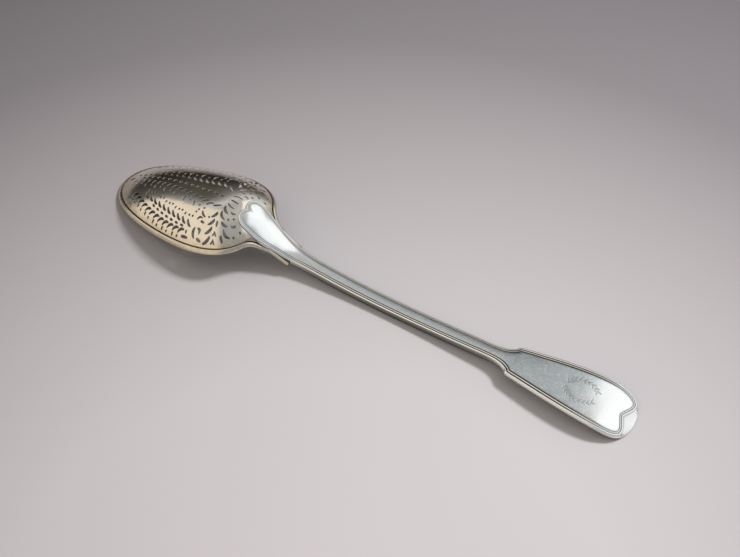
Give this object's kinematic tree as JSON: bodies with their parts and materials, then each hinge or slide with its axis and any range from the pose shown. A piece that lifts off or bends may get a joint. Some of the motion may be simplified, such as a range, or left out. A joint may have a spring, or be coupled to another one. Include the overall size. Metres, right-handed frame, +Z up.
{
  "type": "olive spoon",
  "caption": "Long serving spoon with an egg-shaped bowl pierced with leaf sprays to drain brine, a wire rim, a heart-shaped drop and a fiddle-and-thread handle, lying bowl down.",
  "frame": {"origin": "centre of the spoon's outline on the table that it lies on", "axes": "+X from the bowl's tip to the handle's end, +Y across the bowl, +Z up from the table, with the bowl face down"},
  "size_m": [0.3019, 0.057, 0.0282],
  "materials": {
    "bowl_silver": "hand-polished old silver with dark patina in the openings",
    "rim_silver": "hand-polished old silver wire",
    "neck_silver": "dull old silver",
    "handle_silver": "polished old silver with fine scratches and dark patina in the grooves"
  },
  "bodies": {
    "root": {"pierced_bowl": "bowl_silver", "rim_wire": "rim_silver", "neck_plate": "neck_silver", "handle": "handle_silver"}
  },
  "joints": []
}
